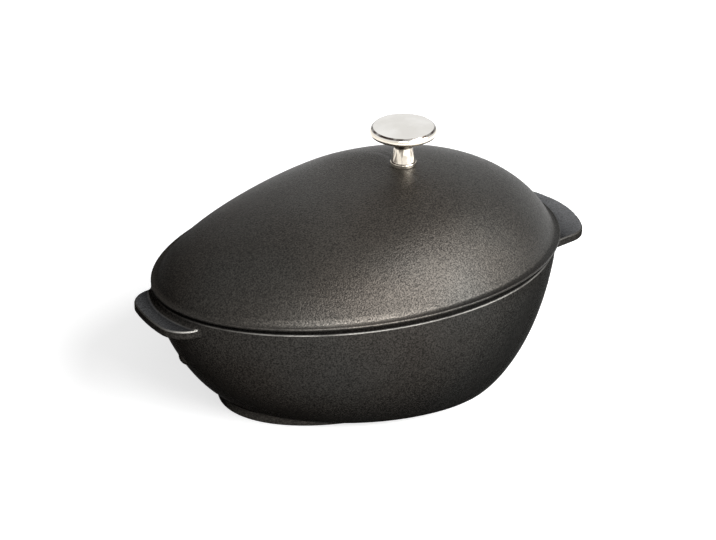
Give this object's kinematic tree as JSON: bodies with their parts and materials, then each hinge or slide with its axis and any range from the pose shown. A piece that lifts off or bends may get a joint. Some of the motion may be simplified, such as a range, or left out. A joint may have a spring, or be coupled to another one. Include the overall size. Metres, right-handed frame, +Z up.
{
  "type": "mussel pot",
  "caption": "Egg-shaped cast iron cooking pot with end lugs, a high domed lid with a turned metal knob, and a lift-out perforated strainer for shellfish.",
  "frame": {"origin": "on the underside of the foot, on the pot's plane of symmetry, below the widest part of the rim", "axes": "+X along the length, from the narrow tip to the broad end; +Z up; the pot is symmetric about y = 0"},
  "size_m": [0.2936, 0.1932, 0.1585],
  "materials": {
    "pot_enamel": "matte black enamel, finely grained",
    "lid_enamel": "matte black enamel, finely grained",
    "knob_metal": "polished nickel",
    "fastener_steel": "plain stainless steel",
    "strainer_steel": "satin stainless steel"
  },
  "bodies": {
    "pot": {"pot_body": "pot_enamel"},
    "lid": {"lid": "lid_enamel", "knob": "knob_metal", "knob_screw": "fastener_steel", "flat_washer": "fastener_steel", "spring_washer": "fastener_steel"},
    "strainer": {"strainer": "strainer_steel"}
  },
  "joints": [
    {"name": "lid_lift", "type": "slide", "parent": "pot", "child": "lid", "axis": [0, 0, 1], "range_m": [0, 0.3]},
    {"name": "strainer_lift", "type": "slide", "parent": "pot", "child": "strainer", "axis": [0, 0, 1], "range_m": [0, 0.15]}
  ],
  "couplings": [
    {"joint": "strainer_lift", "follows": "lid_lift", "ratio": 0.5}
  ]
}
